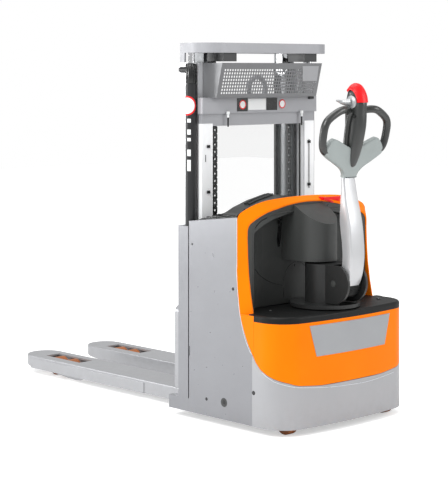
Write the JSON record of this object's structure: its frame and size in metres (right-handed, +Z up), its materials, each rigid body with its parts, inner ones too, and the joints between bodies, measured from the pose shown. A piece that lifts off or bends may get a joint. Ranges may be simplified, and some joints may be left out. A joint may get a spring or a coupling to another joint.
{
  "type": "pedestrian pallet stacker",
  "caption": "Electric pedestrian stacker: two-stage mast over forks with load rollers, rounded rear body with arch frame and battery cover, upright tiller on a steered drive wheel, castors.",
  "frame": {"origin": "on the floor, under the middle of the machine's length and width", "axes": "+Z up, +Y towards the fork tips, +X to the operator's right when facing the forks"},
  "size_m": [0.8, 2.0377, 1.608],
  "materials": {
    "silver_paint": "satin",
    "orange_panel": "gloss",
    "charcoal_plastic": "fine grain",
    "dark_paint": "satin",
    "black_tube": "gloss",
    "rod_chrome": "polished",
    "steel": "machined",
    "chain_steel": "oiled",
    "roller_tyre": "cast polyurethane",
    "drive_tyre": "matte",
    "clear_sheet": "clear",
    "battery_case": "matte",
    "red_plastic": "gloss",
    "arm_alloy": "satin",
    "yoke_grey": "satin",
    "hose_rubber": "matte"
  },
  "bodies": {
    "root": {"chassis_frame": "silver_paint", "support_leg_left": "silver_paint", "support_leg_right": "silver_paint", "side_cover_left": "silver_paint", "side_cover_right": "silver_paint", "bumper_skirt": "silver_paint", "lower_cover": "orange_panel", "badge_plate": "silver_paint", "arch_frame": "orange_panel", "tiller_bay": "charcoal_plastic", "shelf": "charcoal_plastic", "battery_block": "battery_case", "outer_rail_left": "silver_paint", "outer_rail_right": "silver_paint", "mast_crossmembers": "silver_paint", "mesh_guard": "dark_paint", "mast_screen": "clear_sheet", "lift_cylinders": "black_tube", "mast_hose": "hose_rubber", "chain_anchors": "chain_steel", "red_handle": "red_plastic"},
    "lid": {"battery_cover": "charcoal_plastic"},
    "inner_mast": {"inner_rail_left": "dark_paint", "inner_rail_right": "dark_paint", "inner_crossmembers": "silver_paint", "mast_head_blocks": "dark_paint", "lift_rods": "rod_chrome", "chain_pulleys": "steel", "mast_chains": "chain_steel"},
    "carriage": {"fork_carriage": "dark_paint", "fork_left": "silver_paint", "fork_right": "silver_paint"},
    "steering": {"drive_unit": "dark_paint", "tiller_base": "charcoal_plastic"},
    "drive": {"drive_wheel": "drive_tyre"},
    "tiller": {"tiller_arm": "arm_alloy", "tiller_yoke": "yoke_grey", "tiller_head": "charcoal_plastic", "tiller_rocker": "silver_paint", "stop_button": "red_plastic"},
    "load_roller_left_front": {"load_roller_left_front": "roller_tyre"},
    "load_roller_left_rear": {"load_roller_left_rear": "roller_tyre"},
    "castor_left": {"castor_fork_left": "steel"},
    "castor_wheel_left": {"castor_wheel_left": "roller_tyre"},
    "load_roller_right_front": {"load_roller_right_front": "roller_tyre"},
    "load_roller_right_rear": {"load_roller_right_rear": "roller_tyre"},
    "castor_right": {"castor_fork_right": "steel"},
    "castor_wheel_right": {"castor_wheel_right": "roller_tyre"}
  },
  "joints": [
    {"name": "mast_slide", "type": "slide", "parent": "root", "child": "inner_mast", "axis": [0, 0, 1], "range_m": [0, 1]},
    {"name": "carriage_slide", "type": "slide", "parent": "inner_mast", "child": "carriage", "axis": [0, 0, 1], "range_m": [0, 1]},
    {"name": "steering", "type": "hinge", "parent": "root", "child": "steering", "pos_m": [0, -0.7775, 0.5], "axis": [0, 0, 1], "range_deg": [-90, 90]},
    {"name": "drive_spin", "type": "hinge", "parent": "steering", "child": "drive", "pos_m": [0, -0.7775, 0.115], "axis": [1, 0, 0], "continuous": true},
    {"name": "tiller_tilt", "type": "hinge", "parent": "steering", "child": "tiller", "pos_m": [0, -0.8805, 0.597], "axis": [1, 0, 0], "range_deg": [0, 75], "stiffness_Nm_per_rad": 30, "springref_deg": -28.65},
    {"name": "lid_hinge", "type": "hinge", "parent": "root", "child": "lid", "pos_m": [0, -0.6525, 0.95], "axis": [1, 0, 0], "range_deg": [0, 85]},
    {"name": "load_roller_left_front_spin", "type": "hinge", "parent": "root", "child": "load_roller_left_front", "pos_m": [-0.19, 0.8155, 0.0425], "axis": [1, 0, 0], "continuous": true},
    {"name": "load_roller_left_rear_spin", "type": "hinge", "parent": "root", "child": "load_roller_left_rear", "pos_m": [-0.19, 0.7175, 0.0425], "axis": [1, 0, 0], "continuous": true},
    {"name": "castor_left_swivel", "type": "hinge", "parent": "root", "child": "castor_left", "pos_m": [-0.3, -0.8125, 0.12], "axis": [0, 0, 1], "continuous": true},
    {"name": "castor_left_spin", "type": "hinge", "parent": "castor_left", "child": "castor_wheel_left", "pos_m": [-0.3, -0.8425, 0.05], "axis": [1, 0, 0], "continuous": true},
    {"name": "load_roller_right_front_spin", "type": "hinge", "parent": "root", "child": "load_roller_right_front", "pos_m": [0.19, 0.8155, 0.0425], "axis": [1, 0, 0], "continuous": true},
    {"name": "load_roller_right_rear_spin", "type": "hinge", "parent": "root", "child": "load_roller_right_rear", "pos_m": [0.19, 0.7175, 0.0425], "axis": [1, 0, 0], "continuous": true},
    {"name": "castor_right_swivel", "type": "hinge", "parent": "root", "child": "castor_right", "pos_m": [0.3, -0.8125, 0.12], "axis": [0, 0, 1], "continuous": true},
    {"name": "castor_right_spin", "type": "hinge", "parent": "castor_right", "child": "castor_wheel_right", "pos_m": [0.3, -0.8425, 0.05], "axis": [1, 0, 0], "continuous": true}
  ],
  "couplings": [
    {"joint": "carriage_slide", "follows": "mast_slide", "ratio": 1}
  ]
}
